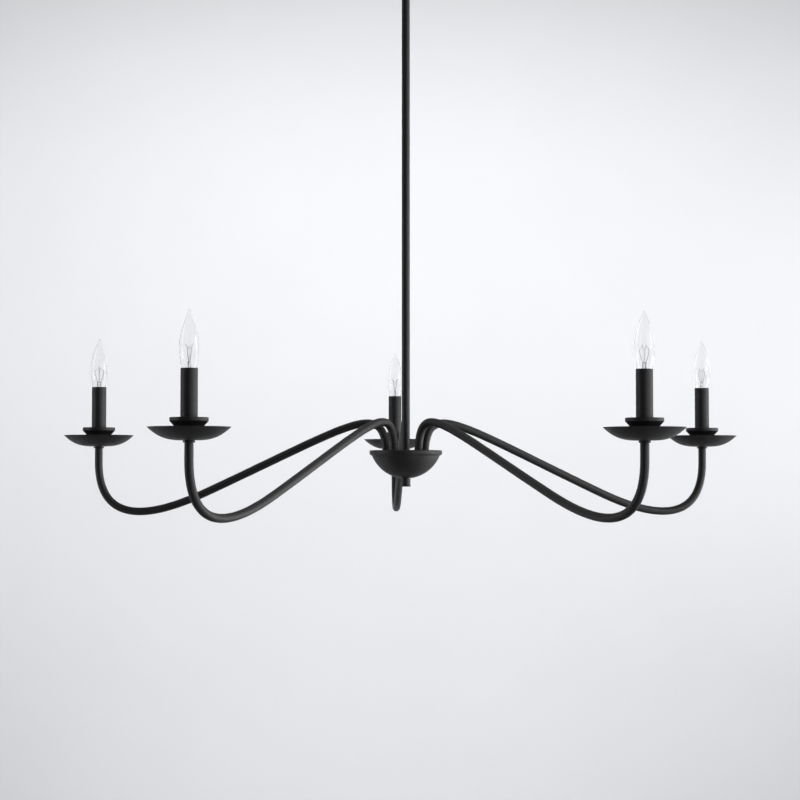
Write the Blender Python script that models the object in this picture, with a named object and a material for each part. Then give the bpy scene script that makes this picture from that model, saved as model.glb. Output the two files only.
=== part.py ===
"""Five-arm pendant chandelier in black metal, modelled in metres with +Z up.

The origin is on the vertical axis, in the ceiling plane. The lamp hangs below it from a
swivel under a shallow canopy: a straight stem, a round hub and curved tube arms, each of
which carries a drip pan, a candle cup, a candle sleeve and a screw-in lamp.
"""
from math import asin, cos, pi, radians, sin, sqrt

import bmesh
import bpy
import numpy as np

# Driving dimensions ---------------------------------------------------------------------
# Heights below the swivel are measured up or down from the datum level, this far under
# the ceiling. The hub's bowl bottoms out a few millimetres below the datum.
DATUM_DROP = 0.861
GAP = 0.0003                     # between pieces that rest on each other

ARM_COUNT = 5
FIRST_AZIMUTH = radians(90)
RING_RADIUS = 0.52705            # from the axis to the middle of each light
TUBE_RADIUS = 0.00635            # the arms and the stem are of one tube
TUBE_WALL = 0.0009
SPIGOT_RADIUS = 0.0050           # the threaded ends, 10 mm across
SPIGOT_BORE = 0.0036
CLEAR_BORE = 0.0055              # the holes that pass them

# An arm's centre line, as (distance from the axis, height): two cubic curves that meet
# at the turning point of the S
ARM_START = (0.03118, 0.01197)
ARM_RISE = 0.1112                # handle of the upright start
ARM_TURN = (0.32833, -0.02598)
ARM_DIP = radians(23.70)         # slope down at the turning point
ARM_TURN_HANDLES = (0.28908, 0.05505)
ARM_END_HEIGHT = 0.02016
ARM_DROP = 0.13342               # handle of the upright end
ARM_RINGS = 22

# One light, heights of its pieces from the datum
CHECK_RING = {"radius": 0.0084, "low": 0.0423, "high": 0.0451}
PAN_RADIUS = 0.05715
PAN_RIM = 0.0638
PAN_DEPTH = 0.0184
PAN_POWER = 2.1                  # how square the dish is beyond its level middle
PAN_WALL = 0.0010
PAN_FLAT = 0.0100                # radius of its level middle
PAN_STATIONS = (PAN_FLAT, 0.0240, 0.0370, 0.0480, 0.0545)
CUP = {"radius": 0.0266, "rim": 0.0766, "band": 0.0050, "flare": 0.925, "neck": 0.0090, "wall": 0.0012}
SLEEVE = {"radius": 0.0118, "bore": 0.0111, "top": 0.1433, "room": 0.0008}
SOCKET = {"radius": 0.0096, "mouth": 0.1340, "bore": 0.0066, "floor": 0.1162, "web": 0.0060}
SOCKET_FOOT = {"radius": 0.0069, "low": 0.0600, "high": 0.0720, "shoulder": 0.0740}
ARM_SPIGOT = {"neck_run": 0.0040, "high": 0.0660}
BASE = {"radius": 0.00595, "low": 0.1195, "high": 0.1350, "insulator": 0.0040, "taper": 0.0025}
CONTACT = {"radius": 0.0026, "face": 0.00182, "low": 0.1165, "shoulder": 0.1175}
GLASS_WALL = 0.0008
# The lamp's outline, as (radius, height above the sleeve's top)
GLASS_OUTLINE = (
    (0.0057, -0.0080), (0.0103, 0.0000), (0.0129, 0.0100), (0.0144, 0.0240), (0.0132, 0.0400),
    (0.0100, 0.0545), (0.0050, 0.0715),
)
GLASS_TIP = 0.0800

# The hub
BOWL = {"radius": 0.0576, "middle": 0.0503, "wall": 0.0012, "flat": 0.0085}
BEAD = {"ring": 0.05305, "height": 0.03295, "radius": 0.00425}
PLATE = {"radius": 0.0482, "top": 0.0340, "thick": 0.0020, "skirt": 0.0219, "skirt_wall": 0.0015}
ARM_HOLE = {"clearance": 0.0006, "low": 0.0260, "high": 0.0400}
HUB_NUT = {"flat": 0.0085, "bore": 0.0061, "high": 0.0317, "thick": 0.0060}
FINIAL = {"radius": 0.00775, "high": -0.0070, "low": -0.0200, "bore_end": -0.0176, "edge": 0.0008}
NIPPLE = {"low": -0.0170, "high": 0.0620}
NIPPLE_WINDOW = {"low": 0.0050, "high": 0.0150, "half_width": 0.0026}

# The stem and the swivel, with heights from the ceiling
STEM_LENGTH = 0.7620
PIVOT_DROP = 0.0500
KNUCKLE = {"ball": 0.0070, "collar": 0.0030, "taper": 0.0010, "spigot": 0.0150}
KNUCKLE_BORE = {"radius": 0.0030, "rise": 0.0060}
YOKE = {"radius": 0.0104, "high": -0.0270, "low": -0.0595, "crown": -0.0415, "slot": 0.0074}
PIN = {"radius": 0.0025, "hole": 0.0029, "head": 0.0038, "face": 0.0027, "half": 0.0110, "end": 0.0125}
CANOPY = {"radius": 0.0635, "depth": 0.0260, "corner": 0.0140, "wall": 0.0012}
CANOPY_RIM = {"width": 0.0018, "depth": 0.0030}
CROSSBAR = {"half_length": 0.0520, "half_width": 0.0090, "thick": 0.0025}
BOX_SLOT = {"near": 0.0330, "far": 0.0465, "half_width": 0.0023}
CANOPY_SCREW = {"spacing": 0.0500, "radius": 0.0020, "head": 0.0050, "hole": 0.0025}
CEILING_NIPPLE_LOW = -0.0400
CUT_REACH = 0.0200               # how far a cutting tool runs past what it cuts

# Wiring
WIRE_RADIUS = 0.0017
SPLICE = {"radius": 0.0045, "half_length": 0.0100, "edge": 0.0012, "out": 0.0200, "height": 0.0060}
# Points that keep the arms' wires clear of the nipple and the nut inside the bowl
SIDE_PASS = (0.0155, -0.0060, 0.0065)
BACK_PASS = (0.0140, 0.0140, 0.0070)
ARM_ENTRY = (0.0285, 0.0075)     # distance out and height, under an arm's open end

ROUND = 12                       # sides of a small turned piece
ROUND_PAN = 18
ROUND_HUB = 24
TUBE_SIDES = 8

MATERIALS = {
    "black_metal": ((0.018, 0.018, 0.020, 1), 0.45, 0.6),
    "sleeve_black": ((0.020, 0.020, 0.022, 1), 0.55, 0.0),
    "phenolic": ((0.025, 0.022, 0.020, 1), 0.35, 0.0),
    "nickel": ((0.62, 0.60, 0.56, 1), 0.25, 1.0),
    "contact": ((0.55, 0.54, 0.52, 1), 0.40, 1.0),
    "clear_glass": ((0.95, 0.96, 0.96, 0.35), 0.02, 0.0),
    "zinc_steel": ((0.55, 0.56, 0.57, 1), 0.40, 1.0),
    "wire": ((0.85, 0.83, 0.78, 1), 0.50, 0.0),
}


def material(name):
    """The named Principled material, made the first time it is asked for."""
    found = bpy.data.materials.get(name)
    if found:
        return found
    colour, roughness, metallic = MATERIALS[name]
    made = bpy.data.materials.new(name)
    made.use_nodes = True
    shader = made.node_tree.nodes["Principled BSDF"]
    shader.inputs["Base Color"].default_value = colour
    shader.inputs["Roughness"].default_value = roughness
    shader.inputs["Metallic"].default_value = metallic
    return made


# Mesh makers ----------------------------------------------------------------------------
def finish_mesh(bm, name, slot):
    """A mesh with outward faces, smooth except at its sharp edges, in one material."""
    bmesh.ops.recalc_face_normals(bm, faces=bm.faces)
    mesh = bpy.data.meshes.new(name)
    bm.to_mesh(mesh)
    bm.free()
    mesh.shade_smooth()
    mesh.set_sharp_from_angle(angle=radians(35))
    mesh.materials.append(material(slot))
    return mesh


def turned(name, outline, slot, sides=ROUND):
    """A closed outline of (radius, height) points turned about Z."""
    bm = bmesh.new()
    points = [bm.verts.new((radius, 0, height)) for radius, height in outline]
    for a, b in zip(points, points[1:] + points[:1]):
        if a.co.x > 0 or b.co.x > 0:
            bm.edges.new((a, b))
    profile = bm.verts[:] + bm.edges[:]
    bmesh.ops.spin(bm, geom=profile, cent=(0, 0, 0), axis=(0, 0, 1), angle=2 * pi, steps=sides)
    bmesh.ops.remove_doubles(bm, verts=bm.verts, dist=1e-6)
    return finish_mesh(bm, name, slot)


def pipe(radius, bore, low, high):
    """The outline of a plain pipe, for turned()."""
    return [(bore, low), (radius, low), (radius, high), (bore, high)]


def plug_outline(radius, low, high):
    """The outline of a solid cylinder, for turned()."""
    return [(0, low), (radius, low), (radius, high), (0, high)]


def swept(name, path, radii, slot, bores=None, sides=TUBE_SIDES):
    """A round bar along a path of 3-D points, or a tube when it has bores."""
    path = [np.array(point, float) for point in path]
    bm = bmesh.new()

    def ring(index, radius):
        ahead = path[min(index + 1, len(path) - 1)] - path[max(index - 1, 0)]
        ahead /= np.linalg.norm(ahead)
        across = np.cross(ahead, side_of_path)
        across /= np.linalg.norm(across)
        beside = np.cross(across, ahead)
        turns = (2 * pi * k / sides for k in range(sides))
        return [bm.verts.new(path[index] + radius * (cos(t) * across + sin(t) * beside)) for t in turns]

    def skin(rings):
        for low, high in zip(rings, rings[1:]):
            for k in range(sides):
                bm.faces.new((low[k], low[k - 1], high[k - 1], high[k]))

    span = path[-1] - path[0]
    side_of_path = np.cross(span, path[len(path) // 2] - path[0])
    if np.linalg.norm(side_of_path) < 1e-9:
        side_of_path = np.cross(span, (0.31, 0.95, 0.05))
    side_of_path /= np.linalg.norm(side_of_path)
    outer = [ring(k, radius) for k, radius in enumerate(radii)]
    if bores is None:
        skin(outer)
        bm.faces.new(outer[0])
        bm.faces.new(outer[-1][::-1])
    else:
        inner = [ring(k, bore) for k, bore in enumerate(bores)]
        skin(outer + inner[::-1] + outer[:1])
    return finish_mesh(bm, name, slot)


def block(name, half, middle, slot):
    """A plain block from its half sizes and its middle."""
    bm = bmesh.new()
    bmesh.ops.create_cube(bm, size=2)
    bmesh.ops.scale(bm, verts=bm.verts, vec=half)
    bmesh.ops.translate(bm, verts=bm.verts, vec=middle)
    return finish_mesh(bm, name, slot)


# Objects --------------------------------------------------------------------------------
def empty(name, parent=None, x=0.0, y=0.0, z=0.0, azimuth=0.0):
    """A joint axis or a mounting place that pieces are parented to."""
    made = bpy.data.objects.new(name, None)
    bpy.context.collection.objects.link(made)
    made.parent = parent
    made.location = (x, y, z)
    made.rotation_euler.z = azimuth
    return made


def piece(name, mesh, parent, z=0.0, azimuth=0.0):
    """One node of the model, on its parent's axis."""
    made = bpy.data.objects.new(name, mesh)
    bpy.context.collection.objects.link(made)
    made.parent = parent
    made.location.z = z
    made.rotation_euler.z = azimuth
    return made


def cutter(mesh, parent, z=0.0, x=0.0):
    """A helper solid for a Boolean, not part of the model."""
    made = piece(mesh.name, mesh, parent, z)
    made.location.x = x
    made.hide_render = True
    made.display_type = "WIRE"
    return made


def combine(target, tool, operation="DIFFERENCE"):
    """Cut a helper solid out of a piece, or join it on."""
    boolean = target.modifiers.new(tool.name, "BOOLEAN")
    boolean.operation = operation
    boolean.solver = "EXACT"
    boolean.object = tool


# The arm's line -------------------------------------------------------------------------
def cubic(a, b, c, d, steps=120):
    """Points of a cubic Bezier curve."""
    t = np.linspace(0, 1, steps)[:, None]
    a, b, c, d = (np.array(point) for point in (a, b, c, d))
    return (1 - t) ** 3 * a + 3 * (1 - t) ** 2 * t * b + 3 * (1 - t) * t ** 2 * c + t ** 3 * d


def arm_line(rings):
    """The arm's centre line in its own upright plane, with points closer where it bends."""
    turn = np.array(ARM_TURN)
    dip = np.array((cos(ARM_DIP), -sin(ARM_DIP)))
    back, ahead = ARM_TURN_HANDLES
    start, end = ARM_START, (RING_RADIUS, ARM_END_HEIGHT)
    first = cubic(start, (start[0], start[1] + ARM_RISE), turn - back * dip, turn)
    second = cubic(turn, turn + ahead * dip, (end[0], end[1] - ARM_DROP), end)
    points = np.vstack([first, second[1:]])
    steps = np.diff(points, axis=0)
    lengths = np.hypot(*steps.T)
    bends = np.abs(np.diff(np.unwrap(np.arctan2(steps[:, 1], steps[:, 0]))))
    effort = np.concatenate([[0], np.cumsum(lengths / lengths.sum() + np.append(bends, 0) / bends.sum())])
    places = np.interp(np.linspace(0, effort[-1], rings), effort, np.arange(len(points)))
    outs, heights = (np.interp(places, np.arange(len(points)), points[:, k]) for k in (0, 1))
    return list(zip(outs, heights))


def arm_mesh():
    """A tube arm whose far end is necked to a threaded spigot under the light."""
    shoulder = CHECK_RING["low"] - GAP
    line = arm_line(ARM_RINGS)
    tube_bore = TUBE_RADIUS - TUBE_WALL
    radii = [TUBE_RADIUS] * len(line)
    bores = [tube_bore] * len(line)
    ends = (
        (shoulder - ARM_SPIGOT["neck_run"], TUBE_RADIUS, tube_bore), (shoulder, TUBE_RADIUS, SPIGOT_BORE),
        (shoulder + 0.0001, SPIGOT_RADIUS, SPIGOT_BORE), (ARM_SPIGOT["high"], SPIGOT_RADIUS, SPIGOT_BORE),
    )
    for height, radius, bore in ends:
        line.append((RING_RADIUS, height))
        radii.append(radius)
        bores.append(bore)
    path = [(out, 0, height) for out, height in line]
    return swept("arm_tube", path, radii, "black_metal", bores)


# One light's pieces ---------------------------------------------------------------------
def check_ring_mesh():
    washer = pipe(CHECK_RING["radius"], CLEAR_BORE, CHECK_RING["low"], CHECK_RING["high"])
    return turned("check_ring", washer, "black_metal")


def pan_mesh():
    """A shallow dish with a thin edge and a hole for the arm's spigot."""
    def underside(radius):
        shape = max(0, (radius - PAN_FLAT) / (PAN_RADIUS - PAN_FLAT)) ** PAN_POWER
        return PAN_RIM - PAN_DEPTH * (1 - shape)

    under = [(radius, underside(radius)) for radius in (CLEAR_BORE,) + PAN_STATIONS]
    over = [(radius, height + PAN_WALL) for radius, height in under[::-1]]
    return turned("drip_pan", under + [(PAN_RADIUS, PAN_RIM)] + over, "black_metal", ROUND_PAN)


def cup_mesh():
    """A flared cup: a bored neck, a cone and a short upright band, with a floor for the sleeve."""
    cup = CUP
    low = PAN_RIM - PAN_DEPTH + PAN_WALL + GAP
    band_low = cup["rim"] - cup["band"]
    neck_high = band_low - (cup["radius"] - cup["neck"]) / cup["flare"]
    inside = cup["radius"] - cup["wall"]
    seat = SLEEVE["radius"] + SLEEVE["room"]
    seat_height = band_low - (inside - seat) / cup["flare"] + cup["wall"]
    outline = [
        (CLEAR_BORE, low), (cup["neck"], low), (cup["neck"], neck_high), (cup["radius"], band_low),
        (cup["radius"], cup["rim"]), (inside, cup["rim"]), (inside, band_low + cup["wall"]),
        (seat, seat_height), (CLEAR_BORE, seat_height),
    ]
    return turned("candle_cup", outline, "black_metal", 16), seat_height


def sleeve_mesh(seat_height):
    tube = pipe(SLEEVE["radius"], SLEEVE["bore"], seat_height + GAP, SLEEVE["top"])
    return turned("candle_sleeve", tube, "sleeve_black", 16)


def socket_mesh():
    """A candle socket: a screwed foot on the spigot, a solid web, and the bore that takes the lamp."""
    socket, foot = SOCKET, SOCKET_FOOT
    web_low = socket["floor"] - socket["web"]
    outline = [
        (0, web_low), (CLEAR_BORE, web_low), (CLEAR_BORE, foot["low"]), (foot["radius"], foot["low"]),
        (foot["radius"], foot["high"]), (socket["radius"], foot["shoulder"]),
        (socket["radius"], socket["mouth"]), (socket["bore"], socket["mouth"]),
        (socket["bore"], socket["floor"]), (0, socket["floor"]),
    ]
    return turned("lamp_socket", outline, "phenolic")


def contact_mesh():
    button, top = CONTACT, BASE["low"] - GAP
    outline = [(0, button["low"]), (button["face"], button["low"]), (button["radius"], button["shoulder"]),
               (button["radius"], top), (0, top)]
    return turned("bulb_contact", outline, "contact", 8)


def base_mesh():
    radius, low, high = (BASE[key] for key in ("radius", "low", "high"))
    outline = [(0, low), (BASE["insulator"], low), (radius, low + BASE["taper"]), (radius, high), (0, high)]
    return turned("bulb_base", outline, "nickel")


def glass_mesh():
    """A clear flame-shaped envelope, open at its neck."""
    top = SLEEVE["top"]
    outer = [(radius, top + height) for radius, height in GLASS_OUTLINE]
    inner = [(radius - GLASS_WALL, height) for radius, height in outer[::-1]]
    low = BASE["high"] + GAP
    outer[0] = (outer[0][0], low)
    inner[-1] = (inner[-1][0], low)
    tip = top + GLASS_TIP
    return turned("bulb_glass", outer + [(0, tip), (0, tip - 2 * GLASS_WALL)] + inner, "clear_glass")


# The hub --------------------------------------------------------------------------------
def sphere_height(radius, out):
    """Height of the lower half of a sphere about the bowl's middle, at a distance from the axis."""
    return BOWL["middle"] - sqrt(radius ** 2 - out ** 2)


def bowl_mesh():
    """A spun bowl with a rolled edge and a hole in its flat bottom."""
    outside, inside = BOWL["radius"], BOWL["radius"] - BOWL["wall"]
    meet = asin(BEAD["ring"] / outside)
    start = asin(BOWL["flat"] / outside)
    bottom = sphere_height(outside, BOWL["flat"])
    turns = [start + (meet - start) * k / 5 for k in range(6)]
    outer = [(outside * sin(t), BOWL["middle"] - outside * cos(t)) for t in turns]
    inner = [(inside * sin(t), BOWL["middle"] - inside * cos(t)) for t in turns[-2:0:-1]]
    roll = [radians(angle) for angle in range(-60, 261, 40)]
    ring, height, radius = (BEAD[key] for key in ("ring", "height", "radius"))
    bead = [(ring + radius * cos(t), height + radius * sin(t)) for t in roll]
    floor = bottom + BOWL["wall"]
    ends = [(BOWL["flat"], floor), (CLEAR_BORE, floor), (CLEAR_BORE, bottom)]
    return turned("hub_bowl", outer + bead + inner + ends, "black_metal", ROUND_HUB)


def plate_mesh():
    """A pressed plate with a turned-down skirt that closes the bowl and carries the arms."""
    plate = PLATE
    under = plate["top"] - plate["thick"]
    inside = plate["radius"] - plate["skirt_wall"]
    outline = [
        (CLEAR_BORE, under), (inside, under), (inside, plate["skirt"]), (plate["radius"], plate["skirt"]),
        (plate["radius"], plate["top"]), (CLEAR_BORE, plate["top"]),
    ]
    return turned("hub_plate", outline, "black_metal", ROUND_HUB)


def finial_mesh():
    radius, low, high, edge = (FINIAL[key] for key in ("radius", "low", "high", "edge"))
    outline = [
        (0, low), (radius - edge, low), (radius, low + edge), (radius, high), (CLEAR_BORE, high),
        (CLEAR_BORE, FINIAL["bore_end"]), (0, FINIAL["bore_end"]),
    ]
    return turned("finial", outline, "black_metal", 16)


def build_hub(pendant, datum):
    """The bowl, its plate and finial, and the threaded nipple and nut that draw them together."""
    piece("hub_bowl", bowl_mesh(), pendant, datum)
    piece("finial", finial_mesh(), pendant, datum)
    plate = piece("hub_plate", plate_mesh(), pendant, datum)
    crossing = next(out for out, height in arm_line(200) if height > PLATE["top"])
    hole_radius = (TUBE_RADIUS + ARM_HOLE["clearance"]) / cos(pi / ROUND)
    plug = plug_outline(hole_radius, ARM_HOLE["low"], ARM_HOLE["high"])
    for k in range(ARM_COUNT):
        azimuth = FIRST_AZIMUTH + 2 * pi * k / ARM_COUNT
        hole = cutter(turned("arm_hole_%d" % (k + 1), plug, "black_metal"), pendant, datum)
        hole.location.x = crossing * cos(azimuth)
        hole.location.y = crossing * sin(azimuth)
        combine(plate, hole)
    nut = HUB_NUT
    corner = nut["flat"] / cos(pi / 6)
    hexagon = pipe(corner, nut["bore"], nut["high"] - nut["thick"], nut["high"])
    piece("hub_nut", turned("hub_nut", hexagon, "zinc_steel", 6), pendant, datum)
    rod = pipe(SPIGOT_RADIUS, SPIGOT_BORE, NIPPLE["low"], NIPPLE["high"])
    nipple = piece("centre_nipple", turned("centre_nipple", rod, "zinc_steel"), pendant, datum)
    window = NIPPLE_WINDOW
    middle = (window["low"] + window["high"]) / 2
    half = (window["half_width"], SPIGOT_RADIUS, (window["high"] - window["low"]) / 2)
    opening = block("nipple_window", half, (0, -SPIGOT_RADIUS, middle), "zinc_steel")
    combine(nipple, cutter(opening, pendant, datum))


# The swivel and the ceiling fixing ------------------------------------------------------
def knuckle_mesh(stem_top):
    """A ball on a neck, with a shoulder on the stem and a spigot inside it."""
    ball, neck, bore = KNUCKLE["ball"], SPIGOT_RADIUS, KNUCKLE_BORE["radius"]
    last = pi - asin(neck / ball)
    turns = [last * k / 6 for k in range(7)]
    outer = [(ball * sin(t), -PIVOT_DROP + ball * cos(t)) for t in turns]
    shoulder = stem_top + GAP
    collar = shoulder + KNUCKLE["collar"]
    foot = shoulder - KNUCKLE["spigot"]
    bore_end = shoulder + KNUCKLE_BORE["rise"]
    below = [
        (neck, collar + KNUCKLE["taper"]), (ball, collar), (ball, shoulder), (neck, shoulder),
        (neck, foot), (bore, foot), (bore, bore_end), (0, bore_end),
    ]
    return turned("swivel_knuckle", outer + below, "black_metal")


def crosswise(name, outline, slot, sides=ROUND):
    """A turned piece whose axis lies along X."""
    mesh = turned(name, outline, slot, sides)
    for vertex in mesh.vertices:
        x, y, z = vertex.co
        vertex.co = (z, y, -x)
    return mesh


def pin_mesh():
    radius, head, face, half, end = (PIN[key] for key in ("radius", "head", "face", "half", "end"))
    outline = [
        (0, -end), (face, -end), (head, -half), (radius, -half),
        (radius, half), (head, half), (face, end), (0, end),
    ]
    return crosswise("swivel_pin", outline, "zinc_steel")


def build_swivel(yoke_axis, pivot, stem_top):
    """A yoke that turns on the ceiling nipple, and a pin on which the stem's knuckle tilts."""
    body = pipe(YOKE["radius"], CLEAR_BORE, YOKE["low"], YOKE["high"])
    yoke = piece("swivel_yoke", turned("swivel_yoke", body, "black_metal", 16), yoke_axis)
    half = (YOKE["crown"] - YOKE["low"] + CUT_REACH) / 2
    slot = block("yoke_slot", (YOKE["slot"], CUT_REACH, half), (0, 0, YOKE["crown"] - half), "black_metal")
    combine(yoke, cutter(slot, yoke_axis))
    hole = plug_outline(PIN["hole"], -CUT_REACH, CUT_REACH)
    combine(yoke, cutter(crosswise("yoke_hole", hole, "black_metal"), yoke_axis, -PIVOT_DROP))
    piece("swivel_pin", pin_mesh(), yoke_axis, -PIVOT_DROP)
    knuckle = piece("swivel_knuckle", knuckle_mesh(stem_top), pivot, PIVOT_DROP)
    combine(knuckle, cutter(crosswise("knuckle_hole", hole, "black_metal"), pivot))


def canopy_mesh():
    """A shallow pan with a rounded corner, its rim flat on the ceiling."""
    canopy = CANOPY
    radius, depth, corner, wall = (canopy[key] for key in ("radius", "depth", "corner", "wall"))
    turns = [pi / 2 * k / 3 for k in range(4)]
    outer = [(radius - corner + corner * cos(t), -depth + corner - corner * sin(t)) for t in turns]
    inner = [(radius - corner + (corner - wall) * cos(t), -depth + corner - (corner - wall) * sin(t))
             for t in turns[::-1]]
    rim, rim_depth = radius - CANOPY_RIM["width"], CANOPY_RIM["depth"]
    outline = ([(radius, 0)] + outer + [(CLEAR_BORE, -depth), (CLEAR_BORE, -depth + wall)] + inner
               + [(radius - wall, -rim_depth), (rim, -rim_depth), (rim, 0)])
    return turned("canopy", outline, "black_metal", ROUND_HUB)


def screw_mesh():
    """A ball-headed screw: its head under the canopy and its shank up through the crossbar."""
    screw = CANOPY_SCREW
    under, head = -CANOPY["depth"] - GAP, screw["head"]
    turns = [radians(angle) for angle in (18, 45, 72)]
    ball = [(head * cos(t), under - head * sin(t)) for t in turns]
    outline = [(screw["radius"], -GAP), (screw["radius"], under), (head, under)] + ball
    return turned("canopy_screw", outline + [(0, under - head), (0, -GAP)], "black_metal", 10)


def build_ceiling_fixing():
    """The canopy and its screws, and the crossbar and nipple that carry the weight."""
    fixing = empty("ceiling_fixing")
    canopy = piece("canopy", canopy_mesh(), fixing)
    half_thick = CROSSBAR["thick"] / 2
    half_sizes = (CROSSBAR["half_length"], CROSSBAR["half_width"], half_thick)
    crossbar = piece("crossbar", block("crossbar", half_sizes, (0, 0, -half_thick), "zinc_steel"), fixing)

    def hole(name, radius):
        return turned(name, plug_outline(radius, -CANOPY["depth"] - CUT_REACH, CUT_REACH), "zinc_steel")

    combine(crossbar, cutter(hole("nipple_hole", CLEAR_BORE), fixing))
    screw = screw_mesh()
    for side, place in ((1, CANOPY_SCREW["spacing"] / 2), (2, -CANOPY_SCREW["spacing"] / 2)):
        tool = cutter(hole("screw_hole_%d" % side, CANOPY_SCREW["hole"]), fixing, x=place)
        combine(crossbar, tool)
        combine(canopy, tool)
        piece("canopy_screw_%d" % side, screw, fixing).location.x = place
    half = (BOX_SLOT["far"] - BOX_SLOT["near"]) / 2
    half_sizes = (half, BOX_SLOT["half_width"], CUT_REACH)
    for side in (1, -1):
        middle = side * (BOX_SLOT["near"] + half)
        tool = block("box_slot_%d" % side, half_sizes, (middle, 0, 0), "zinc_steel")
        combine(crossbar, cutter(tool, fixing))
    nipple = pipe(SPIGOT_RADIUS, SPIGOT_BORE, CEILING_NIPPLE_LOW, -GAP)
    piece("ceiling_nipple", turned("ceiling_nipple", nipple, "zinc_steel"), fixing)


# Wiring ---------------------------------------------------------------------------------
def rounded_route(points, steps):
    """A smooth line through a few points, from a Catmull-Rom curve."""
    points = [np.array(point, float) for point in points]
    points = [2 * points[0] - points[1]] + points + [2 * points[-1] - points[-2]]
    route = []
    for a, b, c, d in zip(points, points[1:], points[2:], points[3:]):
        for t in np.linspace(0, 1, steps, endpoint=False):
            route.append(0.5 * (2 * b + (c - a) * t + (2 * a - 5 * b + 4 * c - d) * t ** 2
                                + (3 * b - a - 3 * c + d) * t ** 3))
    return route + [points[-2]]


def arm_wire_route(azimuth):
    """From the splice under the plate, up into an arm's lower end and along it to its socket."""
    outward = np.array((cos(azimuth), sin(azimuth), 0))
    upward = np.array((0, 0, 1))
    splice = np.array((0, -SPLICE["out"], SPLICE["height"]))
    side = 1 if cos(azimuth) >= -1e-9 else -1
    entry = splice + np.array((side * SPLICE["half_length"] * 0.7, 0, 0))
    way = [entry]
    if sin(azimuth) > 0:
        way.append(np.array(SIDE_PASS) * (side, 1, 1))
    if sin(azimuth) > 0.9:
        way.append(np.array(BACK_PASS) * (side, 1, 1))
    way.append(ARM_ENTRY[0] * outward + ARM_ENTRY[1] * upward)
    tube = [outward * out + upward * height for out, height in arm_line(ARM_RINGS)[1:]]
    end = RING_RADIUS * outward + (SOCKET["floor"] - SOCKET["web"] - 0.002) * upward
    return rounded_route(way + tube[:1], 3)[:-1] + tube + [end]


def build_wiring(pendant, datum):
    """One harness: a supply wire down the stem, a splice in the hub and a wire along each arm."""
    radius, half, edge = (SPLICE[key] for key in ("radius", "half_length", "edge"))
    outline = [
        (0, -half), (radius - edge, -half), (radius, edge - half),
        (radius, half - edge), (radius - edge, half), (0, half),
    ]
    body = crosswise("wiring_harness", outline, "wire", 10)
    for vertex in body.vertices:
        vertex.co.y -= SPLICE["out"]
        vertex.co.z += SPLICE["height"]
    harness = piece("wiring_harness", body, pendant, datum)
    window = (NIPPLE_WINDOW["low"] + NIPPLE_WINDOW["high"]) / 2
    supply = rounded_route([(0, -SPLICE["out"], SPLICE["height"]), (0, -0.0090, window - 0.0010),
                            (0, -0.0020, window + 0.0030), (0, 0, window + 0.0200)], 4)
    routes = {"supply_wire": supply + [np.array((0, 0, PLATE["top"] + STEM_LENGTH - 0.004))]}
    for k in range(ARM_COUNT):
        routes["arm_wire_%d" % (k + 1)] = arm_wire_route(FIRST_AZIMUTH + 2 * pi * k / ARM_COUNT)
    for name, route in routes.items():
        wire = swept(name, route, [WIRE_RADIUS] * len(route), "wire", sides=5)
        combine(harness, cutter(wire, pendant, datum), "UNION")


# Assembly -------------------------------------------------------------------------------
def build_lights(pendant, datum):
    """Every arm with its light, the lamp last, on the axis it screws about."""
    cup, seat_height = cup_mesh()
    fixed = {
        "check_ring": check_ring_mesh(), "drip_pan": pan_mesh(), "candle_cup": cup,
        "candle_sleeve": sleeve_mesh(seat_height), "lamp_socket": socket_mesh(),
    }
    lamp = {"bulb_contact": contact_mesh(), "bulb_base": base_mesh(), "bulb_glass": glass_mesh()}
    arm = arm_mesh()
    for k in range(ARM_COUNT):
        azimuth = FIRST_AZIMUTH + 2 * pi * k / ARM_COUNT
        number = "_%d" % (k + 1)
        piece("arm_tube" + number, arm, pendant, datum, azimuth)
        place = (RING_RADIUS * cos(azimuth), RING_RADIUS * sin(azimuth), datum, azimuth)
        light_axis = empty("light_axis" + number, pendant, *place)
        bulb_axis = empty("bulb_axis" + number, pendant, *place)
        for name, mesh in fixed.items():
            piece(name + number, mesh, light_axis)
        for name, mesh in lamp.items():
            piece(name + number, mesh, bulb_axis)


def build():
    for old in list(bpy.data.objects):
        bpy.data.objects.remove(old, do_unlink=True)
    build_ceiling_fixing()
    yoke_axis = empty("swivel_axis")
    pivot = empty("tilt_axis", yoke_axis, z=-PIVOT_DROP)
    datum = PIVOT_DROP - DATUM_DROP          # the datum level as seen from the tilt axis
    stem_low = PLATE["top"] + GAP
    stem_top = stem_low + STEM_LENGTH - DATUM_DROP
    build_swivel(yoke_axis, pivot, stem_top)
    stem = turned("stem_tube", pipe(TUBE_RADIUS, TUBE_RADIUS - TUBE_WALL, stem_low, stem_low + STEM_LENGTH),
                  "black_metal")
    piece("stem_tube", stem, pivot, datum)
    build_hub(pivot, datum)
    build_lights(pivot, datum)
    build_wiring(pivot, datum)


build()
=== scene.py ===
"""The visual model of the five-arm black chandelier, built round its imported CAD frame.

Lengths are in metres. Every finished piece stands where its CAD node stands: the places come
from the frame's boxes, and the pieces' own profiles are drawn here at a finer grain.
"""
from math import asin, cos, hypot, pi, radians, sin, sqrt, tan

import bmesh
import bpy
import numpy as np
from mathutils import Matrix, Vector


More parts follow.
